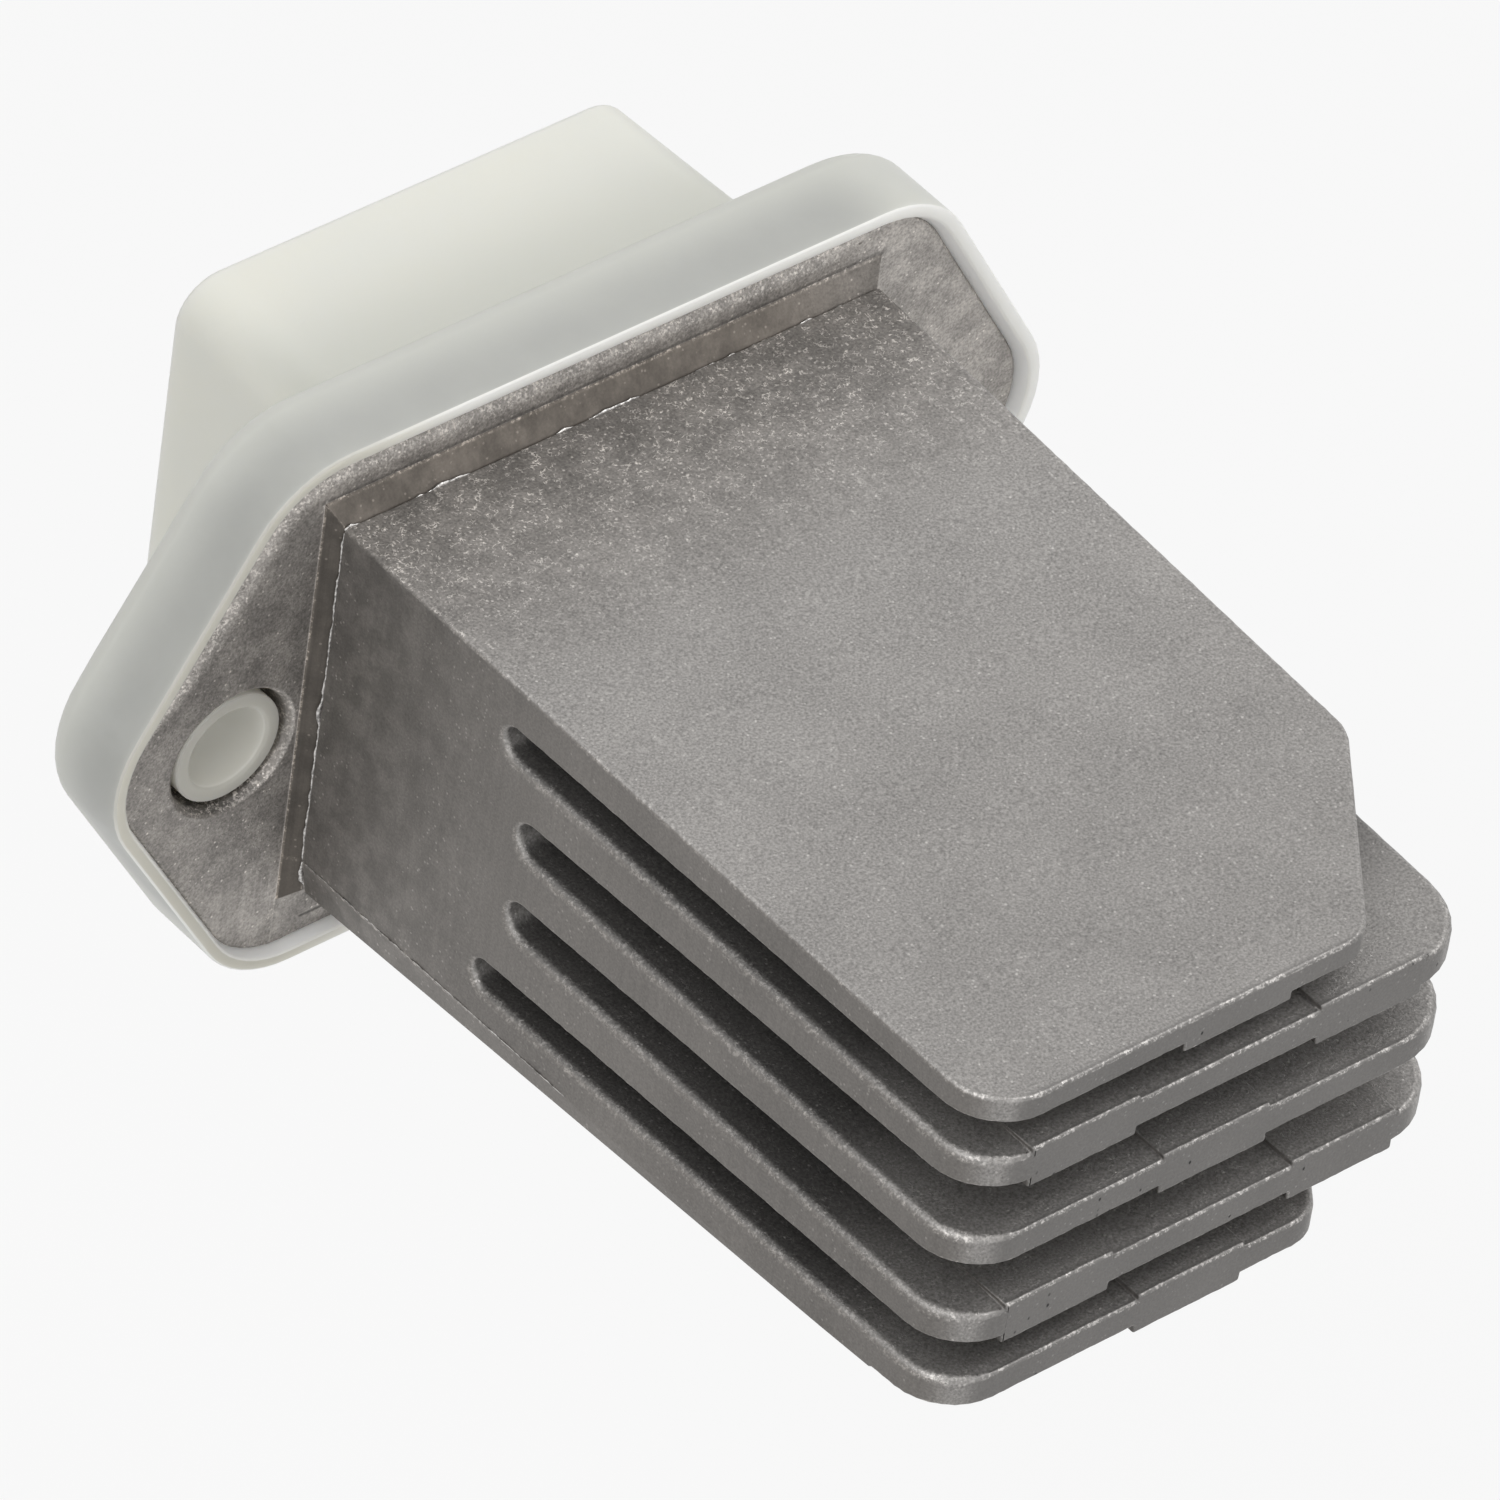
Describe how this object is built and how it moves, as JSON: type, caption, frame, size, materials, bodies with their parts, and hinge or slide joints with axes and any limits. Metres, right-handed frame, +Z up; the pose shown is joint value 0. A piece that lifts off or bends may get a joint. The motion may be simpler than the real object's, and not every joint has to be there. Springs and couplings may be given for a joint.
{
  "type": "blower motor resistor",
  "caption": "Blower motor resistor: a cast aluminium heat sink with slotted fins, seated in a pale nylon housing with screw holes in its rim and a plug socket at the back.",
  "frame": {"origin": "midway between the two screw holes, on the front faces of their bosses", "axes": "+X from the left screw hole to the right one as seen from the fins, +Y from the fins towards the plug socket, +Z up"},
  "size_m": [0.0696, 0.076, 0.039],
  "materials": {
    "cast_aluminium": "bead-blasted die casting",
    "natural_nylon": "translucent, satin",
    "sealant": "cured silicone",
    "board_laminate": "solder mask",
    "insulating_film": "matte",
    "tinned_copper": "tin plated",
    "black_epoxy": "moulded",
    "plated_steel": "zinc plated",
    "tinned_brass": "tin plated",
    "capacitor_sleeve": "shrink sleeve",
    "resistance_wire": "drawn",
    "resistor_film": "printed glaze",
    "ceramic_body": "fired ceramic"
  },
  "bodies": {
    "root": {"heat_sink": "cast_aluminium", "housing": "natural_nylon", "sealant_bead": "sealant", "circuit_board": "board_laminate", "insulating_films": "insulating_film", "left_transistor_tab": "tinned_copper", "left_transistor_body": "black_epoxy", "right_transistor_tab": "tinned_copper", "right_transistor_body": "black_epoxy", "transistor_screws": "plated_steel", "board_screws": "plated_steel", "ground_terminal": "tinned_brass", "control_terminal": "tinned_brass", "sense_terminal": "tinned_brass", "motor_terminal": "tinned_brass", "smoothing_capacitor": "capacitor_sleeve", "freewheel_diode": "black_epoxy", "surge_diode": "black_epoxy", "control_chip": "black_epoxy", "current_shunt": "resistance_wire", "chip_resistors": "resistor_film", "chip_capacitors": "ceramic_body"}
  },
  "joints": []
}
